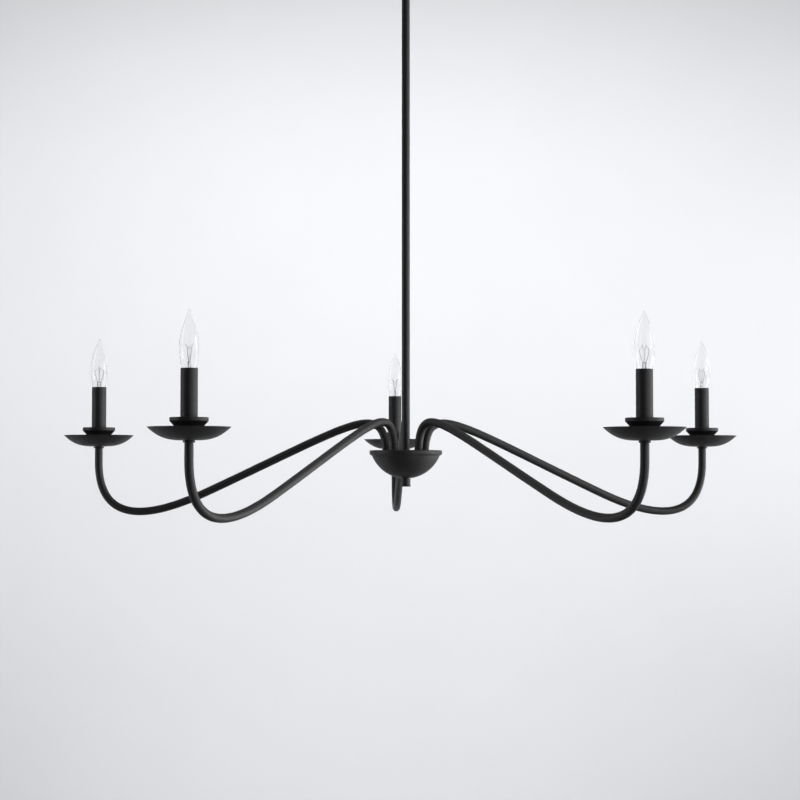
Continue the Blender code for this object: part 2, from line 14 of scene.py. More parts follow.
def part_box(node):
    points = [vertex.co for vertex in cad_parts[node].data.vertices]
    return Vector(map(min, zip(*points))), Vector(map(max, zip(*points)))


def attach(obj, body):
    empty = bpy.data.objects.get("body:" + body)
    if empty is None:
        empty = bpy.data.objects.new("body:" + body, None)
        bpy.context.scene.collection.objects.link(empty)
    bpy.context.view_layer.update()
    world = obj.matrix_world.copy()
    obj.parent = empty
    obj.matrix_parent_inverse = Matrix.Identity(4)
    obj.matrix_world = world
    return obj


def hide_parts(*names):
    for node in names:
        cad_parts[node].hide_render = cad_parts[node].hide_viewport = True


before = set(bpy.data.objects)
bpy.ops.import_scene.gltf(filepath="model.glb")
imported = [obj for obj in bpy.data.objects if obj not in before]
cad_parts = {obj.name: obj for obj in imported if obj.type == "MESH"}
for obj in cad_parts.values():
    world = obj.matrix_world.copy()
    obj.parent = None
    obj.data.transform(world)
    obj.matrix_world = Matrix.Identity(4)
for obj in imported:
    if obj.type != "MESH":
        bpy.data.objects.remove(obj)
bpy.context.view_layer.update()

# Places read from the frame ---------------------------------------------------------------
LIGHTS = range(1, 6)
FIRST_AZIMUTH = radians(90)


def middle(node):
    low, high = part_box(node)
    return (low + high) / 2


def azimuth_of(number):
    return FIRST_AZIMUTH + (number - 1) * 2 * pi / len(LIGHTS)


PAN_RIM = 0.0638                            # the pan's rim above the datum level
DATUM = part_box("drip_pan_1")[1].z - PAN_RIM
PLACES = {k: middle("drip_pan_%d" % k) for k in LIGHTS}
RING_RADIUS = hypot(PLACES[1].x, PLACES[1].y)
STEM_LOW, STEM_HIGH = (corner.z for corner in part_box("stem_tube"))
PIVOT = middle("swivel_pin")
GAP = 0.0003

# The profiles' own dimensions -------------------------------------------------------------
TUBE_RADIUS = 0.00635
TUBE_BORE = 0.00545
SPIGOT_RADIUS = 0.0050
SPIGOT_BORE = 0.0036
CLEAR_BORE = 0.0055
ARM_START = (0.03118, 0.01197)
ARM_RISE = 0.1112
ARM_TURN = (0.32833, -0.02598)
ARM_DIP = radians(23.70)
ARM_TURN_HANDLES = (0.28908, 0.05505)
ARM_END_HEIGHT = 0.02016
ARM_DROP = 0.13342
SHOULDER = 0.0420                           # where the arm's tube ends under the check ring
PAN_RADIUS, PAN_DEPTH, PAN_WALL = 0.05715, 0.0184, 0.0009
PAN_FLAT, PAN_POWER = 0.0100, 2.6           # the dish is a little fuller than its CAD node
CUP_RADIUS, CUP_RIM, CUP_BAND, CUP_FLARE, CUP_NECK, CUP_WALL = 0.0266, 0.0766, 0.0050, 0.925, 0.0090, 0.0011
SLEEVE_RADIUS, SLEEVE_BORE, SLEEVE_TOP = 0.0118, 0.0111, 0.1433
SLEEVE_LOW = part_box("candle_sleeve_1")[0].z - DATUM
SOCKET_LOW, SOCKET_MOUTH = (corner.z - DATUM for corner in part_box("lamp_socket_1"))
SOCKET_RADIUS, SOCKET_BORE, SOCKET_FLOOR = 0.0096, 0.0068, 0.1162
BASE_LOW, BASE_HIGH = (corner.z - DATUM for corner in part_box("bulb_base_1"))
BASE_RADIUS = 0.00595
CONTACT_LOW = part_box("bulb_contact_1")[0].z - DATUM
THREAD_PITCH = 0.00254
BOWL_RADIUS, BOWL_MIDDLE, BOWL_WALL, BOWL_FLAT = 0.0576, 0.0503, 0.0012, 0.0085
BEAD_OUT, BEAD_TOP, BEAD_LOW = 0.0573, 0.0372, 0.0287
PLATE_RADIUS, PLATE_TOP, PLATE_THICK, PLATE_SKIRT = 0.0482, 0.0340, 0.0016, 0.0219
FINIAL_RADIUS, FINIAL_HIGH, FINIAL_LOW = 0.00775, -0.0070, -0.0200
PIN_BORE = 0.0029                           # the hole that the swivel pin goes through
SCREW_BORE, SCREW_PLACE = 0.0024, 0.025     # the canopy screws' holes, and how far out they are
BOX_SLOT, BOX_SLOT_PLACE = (0.00675, 0.0023), 0.03975
NIPPLE_PITCH = 0.0010

CAMERA_PLACE = (-0.11658, -3.06448, DATUM)
CAMERA_PITCH = radians(2.177)
CAMERA_YAW = radians(-2.007)
CAMERA_LENS = 87.48
FINE = 96                                   # sides of a turned piece


# Mesh makers ------------------------------------------------------------------------------
def linked(name, data):
    made = bpy.data.objects.new(name, data)
    bpy.context.collection.objects.link(made)
    return made


def shaded(mesh, sharp):
    """Smooth shading except past the sharp angle, in degrees."""
    mesh.shade_smooth()
    mesh.set_sharp_from_angle(angle=radians(sharp))


def circle(bm, radius, height, sides):
    return [bm.verts.new((radius * cos(2 * pi * k / sides), radius * sin(2 * pi * k / sides), height))
            for k in range(sides)]


def to_object(bm, name, material, sharp=40):
    """An object from a bmesh: faces outward, smooth except past the sharp angle."""
    bmesh.ops.recalc_face_normals(bm, faces=bm.faces)
    mesh = bpy.data.meshes.new(name)
    bm.to_mesh(mesh)
    bm.free()
    shaded(mesh, sharp)
    mesh.materials.append(material)
    return linked(name, mesh)


def rounded(corners, steps=6):
    """A closed outline in which each (radius, height, fillet) corner becomes a small arc."""
    outline = []
    count = len(corners)
    for k, (r, z, fillet) in enumerate(corners):
        here = np.array((r, z))
        if not fillet:
            outline.append((r, z))
            continue
        before = np.array(corners[k - 1][:2]) - here
        after = np.array(corners[(k + 1) % count][:2]) - here
        reach = [np.linalg.norm(before), np.linalg.norm(after)]
        before, after = before / reach[0], after / reach[1]
        half = 0.5 * np.arccos(np.clip(before @ after, -1, 1))
        run = min(fillet / tan(half), 0.49 * reach[0], 0.49 * reach[1])
        radius = run * tan(half)
        centre = here + (before + after) / np.linalg.norm(before + after) * radius / sin(half)
        start, end = here + before * run - centre, here + after * run - centre
        sweep = pi - 2 * half
        turn = 1 if start[0] * end[1] - start[1] * end[0] > 0 else -1
        support = min(0.35 * run, 0.0004)
        outline.append(tuple(here + before * (run + support)))
        for step in range(steps + 1):
            t = turn * sweep * step / steps
            spun = (start[0] * cos(t) - start[1] * sin(t), start[0] * sin(t) + start[1] * cos(t))
            outline.append((centre[0] + spun[0], centre[1] + spun[1]))
        outline.append(tuple(here + after * (run + support)))
    return outline


def lathe(name, outline, material, sides=FINE, sharp=40):
    """A closed outline of (radius, height) points turned about Z, with its poles closed."""
    bm = bmesh.new()
    rings = []
    for r, z in outline:
        if r < 1e-7:
            rings.append([bm.verts.new((0, 0, z))])
        else:
            rings.append(circle(bm, r, z, sides))
    for low, high in zip(rings, rings[1:] + rings[:1]):
        if len(low) == len(high) == 1:
            continue
        for k in range(sides):
            loop = [low[k % len(low)], low[(k + 1) % len(low)] if len(low) > 1 else None,
                    high[(k + 1) % len(high)] if len(high) > 1 else None, high[k % len(high)]]
            bm.faces.new([vert for vert in loop if vert])
    return to_object(bm, name, material, sharp)


def swept(name, line, radii, bores, material, sides=32):
    """A round tube along a line of (out, height) points in the XZ plane, solid if it has no bores."""
    points = np.array(line, float)
    ahead = np.gradient(points, axis=0)
    ahead /= np.linalg.norm(ahead, axis=1)[:, None]
    bm = bmesh.new()

    def ring(index, radius):
        out, height = points[index]
        across = np.array((ahead[index][1], 0, -ahead[index][0]))
        verts = []
        for k in range(sides):
            t = 2 * pi * k / sides
            verts.append(bm.verts.new(np.array((out, 0, height))
                                      + radius * (cos(t) * across + sin(t) * np.array((0, 1, 0)))))
        return verts

    rings = [ring(k, radius) for k, radius in enumerate(radii)]
    if bores:
        rings += [ring(k, bores[k]) for k in range(len(bores) - 1, -1, -1)]
        rings.append(rings[0])
    else:
        bm.faces.new(rings[0])
        bm.faces.new(rings[-1][::-1])
    for low, high in zip(rings, rings[1:]):
        for k in range(sides):
            bm.faces.new((low[k], low[k - 1], high[k - 1], high[k]))
    return to_object(bm, name, material)


def curve_piece(name, curve, material):
    """A mesh object made from a bevelled curve."""
    helper = linked(name + "_curve", curve)
    bpy.context.view_layer.update()
    mesh = bpy.data.meshes.new_from_object(helper.evaluated_get(bpy.context.evaluated_depsgraph_get()))
    bpy.data.objects.remove(helper)
    mesh.name = name
    mesh.shade_smooth()
    mesh.materials.clear()
    mesh.materials.append(material)
    return linked(name, mesh)


def round_wire(name, points, radius, material, sides=10, steps=6):
    """A wire along a smooth line through 3-D points."""
    curve = bpy.data.curves.new(name, "CURVE")
    curve.dimensions = "3D"
    curve.bevel_depth = radius
    curve.bevel_resolution = max(1, sides // 4)
    curve.use_fill_caps = True
    curve.resolution_u = steps
    spline = curve.splines.new("BEZIER")
    spline.bezier_points.add(len(points) - 1)
    for knot, point in zip(spline.bezier_points, points):
        knot.co = point
        knot.handle_left_type = knot.handle_right_type = "AUTO"
    return curve_piece(name, curve, material)


def join(name, parts):
    """One object from several, kept as they lie."""
    bm = bmesh.new()
    slots = []
    for part in parts:
        material = part.data.materials[0]
        if material not in slots:
            slots.append(material)
        index = slots.index(material)
        mesh = part.data.copy()
        mesh.transform(part.matrix_basis)
        first = len(bm.faces)
        bm.from_mesh(mesh)
        bm.faces.ensure_lookup_table()
        for face in bm.faces[first:]:
            face.material_index = index
        bpy.data.objects.remove(part)
    mesh = bpy.data.meshes.new(name)
    bm.to_mesh(mesh)
    bm.free()
    for material in slots:
        mesh.materials.append(material)
    return linked(name, mesh)


def cut(target, tools, bevel=0.0):
    """Cut tools out of a piece and round the new edges."""
    for tool in tools:
        boolean = target.modifiers.new(tool.name, "BOOLEAN")
        boolean.operation = "DIFFERENCE"
        boolean.solver = "EXACT"
        boolean.object = tool
    bpy.context.view_layer.update()
    mesh = bpy.data.meshes.new_from_object(target.evaluated_get(bpy.context.evaluated_depsgraph_get()))
    mesh.name = target.name
    target.modifiers.clear()
    target.data = mesh
    for tool in tools:
        bpy.data.objects.remove(tool)
    shaded(mesh, 35)
    if bevel:
        rounding = target.modifiers.new("rounding", "BEVEL")
        rounding.width = bevel
        rounding.segments = 3
        rounding.limit_method = "ANGLE"
        rounding.angle_limit = radians(45)
        rounding.harden_normals = True
    return target


def block(name, half, centre, material):
    bm = bmesh.new()
    bmesh.ops.create_cube(bm, size=2)
    bmesh.ops.scale(bm, verts=bm.verts, vec=half)
    bmesh.ops.translate(bm, verts=bm.verts, vec=centre)
    return to_object(bm, name, material)


def drill(radius, low, high, material, sides):
    """A solid round bar on the Z axis, to cut a hole with."""
    return lathe("hole", [(0, low), (radius, low), (radius, high), (0, high)], material, sides)


def crosswise(obj):
    """Lay a piece that was turned about Z along X."""
    for vertex in obj.data.vertices:
        x, y, z = vertex.co
        vertex.co = (z, y, -x)
    obj.data.update()
    return obj


def threaded(name, material, root, crest, low, high, pitch, bore=None, sides=72, rows_per_turn=12):
    """A bar or pipe with a real screw thread that fades out at both ends."""
    bm = bmesh.new()
    rows = max(8, int((high - low) / pitch * rows_per_turn))
    rings = []
    for row in range(rows + 1):
        z = low + (high - low) * row / rows
        fade = min(1, (z - low) / (0.6 * pitch), (high - z) / (0.6 * pitch))
        ring = []
        for k in range(sides):
            phase = z / pitch - k / sides
            wave = 0.5 - 0.5 * cos(2 * pi * phase)
            r = root + (crest - root) * fade * wave ** 0.8
            ring.append(bm.verts.new((r * cos(2 * pi * k / sides), r * sin(2 * pi * k / sides), z)))
        rings.append(ring)
    if bore:
        for z in (high, low):
            rings.append(circle(bm, bore, z, sides))
        rings.append(rings[0])
    else:
        bm.faces.new(rings[0][::-1])
        bm.faces.new(rings[-1])
    for lower, upper in zip(rings, rings[1:]):
        for k in range(sides):
            bm.faces.new((lower[k - 1], lower[k], upper[k], upper[k - 1]))
    return to_object(bm, name, material, 50)


def at_light(obj, number):
    """Stand a piece that was made on the Z axis on one light's axis."""
    obj.data.transform(Matrix.Rotation(azimuth_of(number), 4, "Z"))
    obj.location = (PLACES[number].x, PLACES[number].y, DATUM)
    return obj


def stands_for(obj, body, slot, *nodes):
    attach(obj, body)
    if nodes:
        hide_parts(*nodes)
    return obj


# Materials --------------------------------------------------------------------------------
def new_material(name):
    made = bpy.data.materials.new(name)
    made.use_nodes = True
    tree = made.node_tree
    return made, tree, tree.nodes["Principled BSDF"]


def noise(tree, scale, detail=3.0, roughness=0.5, stretch=None):
    """A noise texture in the piece's own coordinates, scale in cycles per metre."""
    place = tree.nodes.new("ShaderNodeTexCoord")
    texture = tree.nodes.new("ShaderNodeTexNoise")
    texture.inputs["Scale"].default_value = scale
    texture.inputs["Detail"].default_value = detail
    texture.inputs["Roughness"].default_value = roughness
    if stretch:
        mapping = tree.nodes.new("ShaderNodeMapping")
        mapping.inputs["Scale"].default_value = stretch
        tree.links.new(place.outputs["Object"], mapping.inputs["Vector"])
        tree.links.new(mapping.outputs["Vector"], texture.inputs["Vector"])
    else:
        tree.links.new(place.outputs["Object"], texture.inputs["Vector"])
    return texture.outputs["Fac"]


def ramp(tree, value, stops):
    """Colours or greys along a value."""
    node = tree.nodes.new("ShaderNodeValToRGB")
    elements = node.color_ramp.elements
    while len(elements) < len(stops):
        elements.new(0.5)
    for element, (position, colour) in zip(elements, stops):
        element.position = position
        element.color = colour if len(colour) == 4 else (*colour, 1)
    tree.links.new(value, node.inputs["Fac"])
    return node.outputs["Color"]


def spread(tree, value, low, high, start=0.35, end=0.65):
    """Map a noise value to a range, for roughness."""
    node = tree.nodes.new("ShaderNodeMapRange")
    node.inputs["From Min"].default_value = start
    node.inputs["From Max"].default_value = end
    node.inputs["To Min"].default_value = low
    node.inputs["To Max"].default_value = high
    tree.links.new(value, node.inputs["Value"])
    return node.outputs["Result"]


def bump(tree, shader, layers):
    """Stack bump layers of (height value, strength, distance in metres) on a shader."""
    normal = None
    for height, strength, distance in layers:
        node = tree.nodes.new("ShaderNodeBump")
        node.inputs["Strength"].default_value = strength
        node.inputs["Distance"].default_value = distance
        tree.links.new(height, node.inputs["Height"])
        if normal:
            tree.links.new(normal, node.inputs["Normal"])
        normal = node.outputs["Normal"]
    tree.links.new(normal, shader.inputs["Normal"])


def powder_coat(name, dark, light, rough, grain=1500):
    """Satin black powder coat: a fine orange-peel grain, faint mottling and uneven gloss."""
    made, tree, shader = new_material(name)
    mottle = noise(tree, 55, 4, 0.6)
    tree.links.new(ramp(tree, mottle, [(0.3, dark), (0.7, light)]), shader.inputs["Base Color"])
    tree.links.new(spread(tree, noise(tree, 160, 5, 0.65), rough - 0.05, rough + 0.05),
                   shader.inputs["Roughness"])
    shader.inputs["Specular IOR Level"].default_value = 1.0
    bump(tree, shader,
         [(noise(tree, grain, 2, 0.5), 0.10, 0.00004), (noise(tree, 300, 2, 0.5), 0.06, 0.00008)])
    return made


BLACK_METAL = powder_coat("black_powder_coat", (0.0125, 0.0125, 0.0135), (0.0165, 0.0165, 0.0178), 0.50)
SLEEVE_BLACK = powder_coat("black_sleeve_paint", (0.0130, 0.0130, 0.0140), (0.0170, 0.0170, 0.0182), 0.52,
                           1100)


def plated(name, colour, rough, brushed=(1, 1, 6)):
    """Plated metal: fine drawing lines, a little tarnish and uneven gloss."""
    made, tree, shader = new_material(name)
    low = tuple(0.82 * channel for channel in colour)
    cloud = noise(tree, 220, 4, 0.6)
    tree.links.new(ramp(tree, cloud, [(0.3, low), (0.7, colour)]), shader.inputs["Base Color"])
    shader.inputs["Metallic"].default_value = 1.0
    lines = noise(tree, 900, 2, 0.5, brushed)
    tree.links.new(spread(tree, lines, rough - 0.06, rough + 0.10), shader.inputs["Roughness"])
    bump(tree, shader, [(lines, 0.12, 0.00003)])
    return made


NICKEL = plated("nickel_plate", (0.66, 0.64, 0.60), 0.22)
ZINC = plated("zinc_plate", (0.60, 0.61, 0.63), 0.36)
BRASS = plated("socket_brass", (0.72, 0.53, 0.25), 0.28)
SOLDER = plated("tinned_solder", (0.60, 0.60, 0.59), 0.42)


def moulded(name, dark, light, rough, grain=900):
    """Moulded phenolic or PVC: soft mottling, faint flow lines, a fine grain."""
    made, tree, shader = new_material(name)
    tree.links.new(ramp(tree, noise(tree, 130, 3, 0.5), [(0.3, dark), (0.7, light)]),
                   shader.inputs["Base Color"])
    tree.links.new(spread(tree, noise(tree, 400, 3), rough - 0.06, rough + 0.08),
                   shader.inputs["Roughness"])
    bump(tree, shader, [(noise(tree, grain, 2), 0.12, 0.00004)])
    return made


PHENOLIC = moulded("black_phenolic", (0.016, 0.014, 0.013), (0.028, 0.025, 0.022), 0.38)
INSULATOR = moulded("black_base_glass", (0.010, 0.009, 0.012), (0.022, 0.020, 0.026), 0.12)
PVC = moulded("wire_insulation", (0.70, 0.67, 0.58), (0.80, 0.78, 0.70), 0.48, 600)


def clear_glass(name, tint, waver, ior):
    """Blown clear glass: full transmission, with a faint waver in the surface."""
    made, tree, shader = new_material(name)
    tree.links.new(ramp(tree, noise(tree, 45, 2),
                        [(0.3, tint), (0.7, tuple(min(1, c + 0.012) for c in tint))]),
                   shader.inputs["Base Color"])
    tree.links.new(spread(tree, noise(tree, 90, 2), 0.0, 0.018), shader.inputs["Roughness"])
    shader.inputs["IOR"].default_value = ior
    shader.inputs["Transmission Weight"].default_value = 1.0
    shader.inputs["Coat Weight"].default_value = 0.6
    shader.inputs["Coat IOR"].default_value = 1.45
    bump(tree, shader, [(noise(tree, 40, 1), waver, 0.000006)])
    return made


BULB_GLASS = clear_glass("bulb_glass", (0.985, 0.988, 0.988), 0.05, 1.06)
MOUNT_GLASS = clear_glass("glass_mount", (0.93, 0.935, 0.935), 0.12, 1.5)


def wire_metal(name, dark, light, rough):
    made, tree, shader = new_material(name)
    tree.links.new(ramp(tree, noise(tree, 1400, 2), [(0.3, dark), (0.7, light)]),
                   shader.inputs["Base Color"])
    shader.inputs["Metallic"].default_value = 1.0
    tree.links.new(spread(tree, noise(tree, 700, 2), rough - 0.08, rough + 0.08),
                   shader.inputs["Roughness"])
    bump(tree, shader, [(noise(tree, 2500, 1), 0.1, 0.00002)])
    return made


LEAD_WIRE = wire_metal("lead_wire", (0.11, 0.105, 0.10), (0.17, 0.16, 0.155), 0.45)
TUNGSTEN = wire_metal("tungsten", (0.09, 0.09, 0.095), (0.15, 0.15, 0.16), 0.5)


# The arms ---------------------------------------------------------------------------------
def cubic(a, b, c, d, steps):
    t = np.linspace(0, 1, steps)[:, None]
    a, b, c, d = (np.array(point) for point in (a, b, c, d))
    return (1 - t) ** 3 * a + 3 * (1 - t) ** 2 * t * b + 3 * (1 - t) * t ** 2 * c + t ** 3 * d


def arm_line(steps=90):
    """The arm's S curve as (out, height above the datum) points."""
    turn = np.array(ARM_TURN)
    dip = np.array((cos(ARM_DIP), -sin(ARM_DIP)))
    back, ahead = ARM_TURN_HANDLES
    end = (RING_RADIUS, ARM_END_HEIGHT)
    first = cubic(ARM_START, (ARM_START[0], ARM_START[1] + ARM_RISE), turn - back * dip, turn, steps)
    second = cubic(turn, turn + ahead * dip, (end[0], end[1] - ARM_DROP), end, steps)
    return [tuple(point) for point in np.vstack([first, second[1:]])]


def arm(number):
    line = arm_line()
    radii = [TUBE_RADIUS] * len(line)
    bores = [TUBE_BORE] * len(line)
    edge = 0.0004
    tail = [(SHOULDER - 0.008, TUBE_RADIUS, TUBE_BORE), (SHOULDER - 0.004, TUBE_RADIUS, TUBE_BORE),
            (SHOULDER - edge, TUBE_RADIUS, SPIGOT_BORE), (SHOULDER, TUBE_RADIUS - edge, SPIGOT_BORE),
            (SHOULDER + 0.0002, SPIGOT_RADIUS, SPIGOT_BORE),
            (SOCKET_LOW + 0.0055, SPIGOT_RADIUS, SPIGOT_BORE),
            (SOCKET_LOW + 0.006, SPIGOT_RADIUS - edge, SPIGOT_BORE)]
    for height, radius, bore in tail:
        line.append((RING_RADIUS, height))
        radii.append(radius)
        bores.append(bore)
    radii[0] -= edge
    name = "bent_arm_%d" % number
    tube = swept(name, line, radii, bores, BLACK_METAL)
    tube.location.z = DATUM
    tube.data.transform(Matrix.Rotation(azimuth_of(number), 4, "Z"))
    stands_for(tube, "pendant", "black_metal", "arm_tube_%d" % number)


# One light --------------------------------------------------------------------------------
def check_ring(number):
    low, high = (corner.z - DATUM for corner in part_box("check_ring_1"))
    corners = [(CLEAR_BORE, low, 0.0003), (0.0084, low, 0.0006), (0.0084, high, 0.0006),
               (CLEAR_BORE, high, 0.0003)]
    ring = lathe("round_check_ring_%d" % number, rounded(corners), BLACK_METAL, 64)
    stands_for(at_light(ring, number), "pendant", "black_metal", "check_ring_%d" % number)


def pan_height(radius):
    """Height of the pan's underside."""
    shape = max(0, (radius - PAN_FLAT) / (PAN_RADIUS - PAN_FLAT)) ** PAN_POWER
    return PAN_RIM - PAN_DEPTH * (1 - shape)


def drip_pan(number):
    stations = [PAN_FLAT + (PAN_RADIUS - PAN_FLAT) * (k / 26) ** 0.8 for k in range(26)]
    under = [(CLEAR_BORE, pan_height(0))] + [(r, pan_height(r)) for r in stations]
    lip = [(PAN_RADIUS - 0.0003, PAN_RIM - 0.00035), (PAN_RADIUS, PAN_RIM - 0.0001),
           (PAN_RADIUS - 0.0001, PAN_RIM), (PAN_RADIUS - 0.0005, PAN_RIM)]
    over = [(r - 0.0003, pan_height(r) + PAN_WALL) for r in stations[:0:-1] if r < PAN_RADIUS - 0.002]
    floor = [(PAN_FLAT, pan_height(0) + PAN_WALL), (CLEAR_BORE, pan_height(0) + PAN_WALL)]
    pan = lathe("dished_drip_pan_%d" % number, under + lip + over + floor, BLACK_METAL, 128)
    stands_for(at_light(pan, number), "pendant", "black_metal", "drip_pan_%d" % number)


def candle_cup(number):
    low = PAN_RIM - PAN_DEPTH + PAN_WALL + 0.0004
    band_low = CUP_RIM - CUP_BAND
    neck_high = band_low - (CUP_RADIUS - CUP_NECK) / CUP_FLARE
    inside = CUP_RADIUS - CUP_WALL
    seat = SLEEVE_RADIUS + 0.0008
    seat_height = SLEEVE_LOW - GAP
    corners = [
        (CLEAR_BORE, low, 0), (CUP_NECK, low, 0.0004), (CUP_NECK, neck_high, 0.0015),
        (CUP_RADIUS, band_low, 0.0005), (CUP_RADIUS, CUP_RIM, 0.0005), (inside, CUP_RIM, 0.0004),
        (inside, band_low + CUP_WALL, 0.0010), (seat, seat_height, 0.0008),
        (CLEAR_BORE, seat_height, 0.0002),
    ]
    cup = lathe("flared_candle_cup_%d" % number, rounded(corners), BLACK_METAL)
    stands_for(at_light(cup, number), "pendant", "black_metal", "candle_cup_%d" % number)


def candle_sleeve(number):
    corners = [(SLEEVE_BORE, SLEEVE_LOW, 0.0002), (SLEEVE_RADIUS, SLEEVE_LOW, 0.0002),
               (SLEEVE_RADIUS, SLEEVE_TOP, 0.0006), (SLEEVE_BORE, SLEEVE_TOP, 0.0002)]
    sleeve = lathe("plain_candle_sleeve_%d" % number, rounded(corners), SLEEVE_BLACK)
    stands_for(at_light(sleeve, number), "pendant", "sleeve_black", "candle_sleeve_%d" % number)


def lamp_socket(number):
    """A phenolic candle socket with its foot, and the brass screw shell inside."""
    foot = CLEAR_BORE + 0.0014
    shoulder = SOCKET_LOW + 0.012
    web_low = SOCKET_FLOOR - 0.006
    corners = [
        (0, web_low, 0), (CLEAR_BORE, web_low, 0.0003), (CLEAR_BORE, SOCKET_LOW, 0.0003),
        (foot, SOCKET_LOW, 0.0004),
        (foot, shoulder, 0.0006), (SOCKET_RADIUS, shoulder + 0.002, 0.0010),
        (SOCKET_RADIUS, web_low - 0.004, 0.0005),
        (SOCKET_RADIUS - 0.0006, web_low - 0.0032, 0.0003),
        (SOCKET_RADIUS - 0.0006, web_low - 0.0012, 0.0003),
        (SOCKET_RADIUS, web_low - 0.0004, 0.0005), (SOCKET_RADIUS, SOCKET_MOUTH, 0.0008),
        (SOCKET_BORE + 0.0005, SOCKET_MOUTH, 0.0005), (SOCKET_BORE + 0.0005, SOCKET_FLOOR, 0.0002),
        (0, SOCKET_FLOOR, 0),
    ]
    body = lathe("candle_socket_%d" % number, rounded(corners), PHENOLIC, 64)
    foot_edge = [(SOCKET_BORE - 0.0001, SOCKET_FLOOR + 0.0003),
                 (SOCKET_BORE + 0.0003, SOCKET_FLOOR + 0.0003)]
    turns = int((SOCKET_MOUTH - SOCKET_FLOOR) / THREAD_PITCH)
    outer = [(SOCKET_BORE + 0.0003, SOCKET_MOUTH - 0.0015)]
    inner = []
    for k in range(turns * 8):
        z = SOCKET_MOUTH - 0.0015 - (SOCKET_MOUTH - SOCKET_FLOOR - 0.0022) * k / (turns * 8)
        inner.append((SOCKET_BORE - 0.00012 + 0.00012 * cos(2 * pi * k / 8), z))
    shell = lathe("socket_shell_%d" % number, foot_edge + outer + inner, BRASS, 64)
    joined = join("lamp_socket_detail_%d" % number, [body, shell])
    shaded(joined.data, 40)
    stands_for(at_light(joined, number), "pendant", "phenolic", "lamp_socket_%d" % number)


# The lamp ---------------------------------------------------------------------------------
GLASS_WALL = 0.0007
GLASS_TIP = SLEEVE_TOP + 0.0800


def glass_radius(height):
    """The envelope's radius at a height above the sleeve's top: a neck, a belly and a long flame."""
    heights = (-0.0080, -0.0050, 0.0000, 0.0060, 0.0130, 0.0200, 0.0260, 0.0330, 0.0420, 0.0520, 0.0620,
               0.0710, 0.0768)
    widths = (0.0055, 0.0079, 0.0103, 0.0118, 0.0133, 0.0141, 0.0143, 0.0140, 0.0128, 0.0106, 0.0077,
              0.0046, 0.0024)
    return smooth_through(heights, widths, height)


def smooth_through(xs, ys, x):
    """A Catmull-Rom reading of a few hand-set stations."""
    xs, ys = np.array(xs), np.array(ys)
    slopes = np.gradient(ys, xs)
    k = int(np.clip(np.searchsorted(xs, x) - 1, 0, len(xs) - 2))
    span = xs[k + 1] - xs[k]
    t = (x - xs[k]) / span
    return ((2 * t ** 3 - 3 * t ** 2 + 1) * ys[k] + (t ** 3 - 2 * t ** 2 + t) * span * slopes[k]
            + (3 * t ** 2 - 2 * t ** 3) * ys[k + 1] + (t ** 3 - t ** 2) * span * slopes[k + 1])


def bulb_glass(number):
    """The blown envelope with its sealed tip, open at the neck where the base holds it."""
    stations = [-0.0077 + (0.0768 + 0.0077) * k / 44 for k in range(45)]
    outer = [(glass_radius(h), SLEEVE_TOP + h) for h in stations]
    last_radius, last_height = outer[-1]
    tip = GLASS_TIP - last_height
    crown = [(last_radius * cos(t) ** 0.9, last_height + tip * sin(t))
             for t in (radians(15 * k) for k in range(1, 6))]
    outer += crown + [(0, GLASS_TIP)]
    inner = [(max(r - GLASS_WALL, 0), z - (0.0004 if z > SLEEVE_TOP + 0.07 else 0)) for r, z in outer[::-1]]
    inner[0] = (0, GLASS_TIP - 2.2 * GLASS_WALL)
    inner = [point for k, point in enumerate(inner)
             if k == 0 or (point[0] > 0.0004 and point[1] < inner[0][1])]
    envelope = lathe("flame_bulb_glass_%d" % number, outer + inner, BULB_GLASS, 72, 60)
    stands_for(at_light(envelope, number), "bulb_%d" % number, "clear_glass", "bulb_glass_%d" % number)


MOUNT_TOP = 0.0092
LEAD_TOP = 0.0275
LEADS_TURN = radians(18)


def glass_mount(number):
    """The fused glass stem: a flare from the neck, a tube and a flattened press with rounded corners."""
    bm = bmesh.new()
    sides = 40
    levels = [(-0.0076, 0.0046, 0.0046), (-0.0066, 0.0037, 0.0037), (-0.0045, 0.0030, 0.0030),
              (-0.0010, 0.0028, 0.0028), (0.0020, 0.0031, 0.0025), (0.0045, 0.0035, 0.0020),
              (0.0070, 0.0036, 0.0019), (0.0084, 0.0032, 0.0017), (0.0090, 0.0022, 0.0011),
              (MOUNT_TOP, 0.0010, 0.0005)]
    rings = []
    for height, wide, thick in levels:
        rings.append([bm.verts.new((wide * cos(2 * pi * k / sides), thick * sin(2 * pi * k / sides),
                                    SLEEVE_TOP + height))
                      for k in range(sides)])
    for low, high in zip(rings, rings[1:]):
        for k in range(sides):
            bm.faces.new((low[k - 1], low[k], high[k], high[k - 1]))
    bm.faces.new(rings[0][::-1])
    bm.faces.new(rings[-1])
    mount = to_object(bm, "glass_stem_%d" % number, MOUNT_GLASS, 80)
    smoother = mount.modifiers.new("smooth", "SUBSURF")
    smoother.levels = smoother.render_levels = 2
    return mount


def in_bulb(side, out, height):
    """A point in the lamp: side along the leads' line, out across it, height above the sleeve's top."""
    return Vector((side, out, SLEEVE_TOP + height))


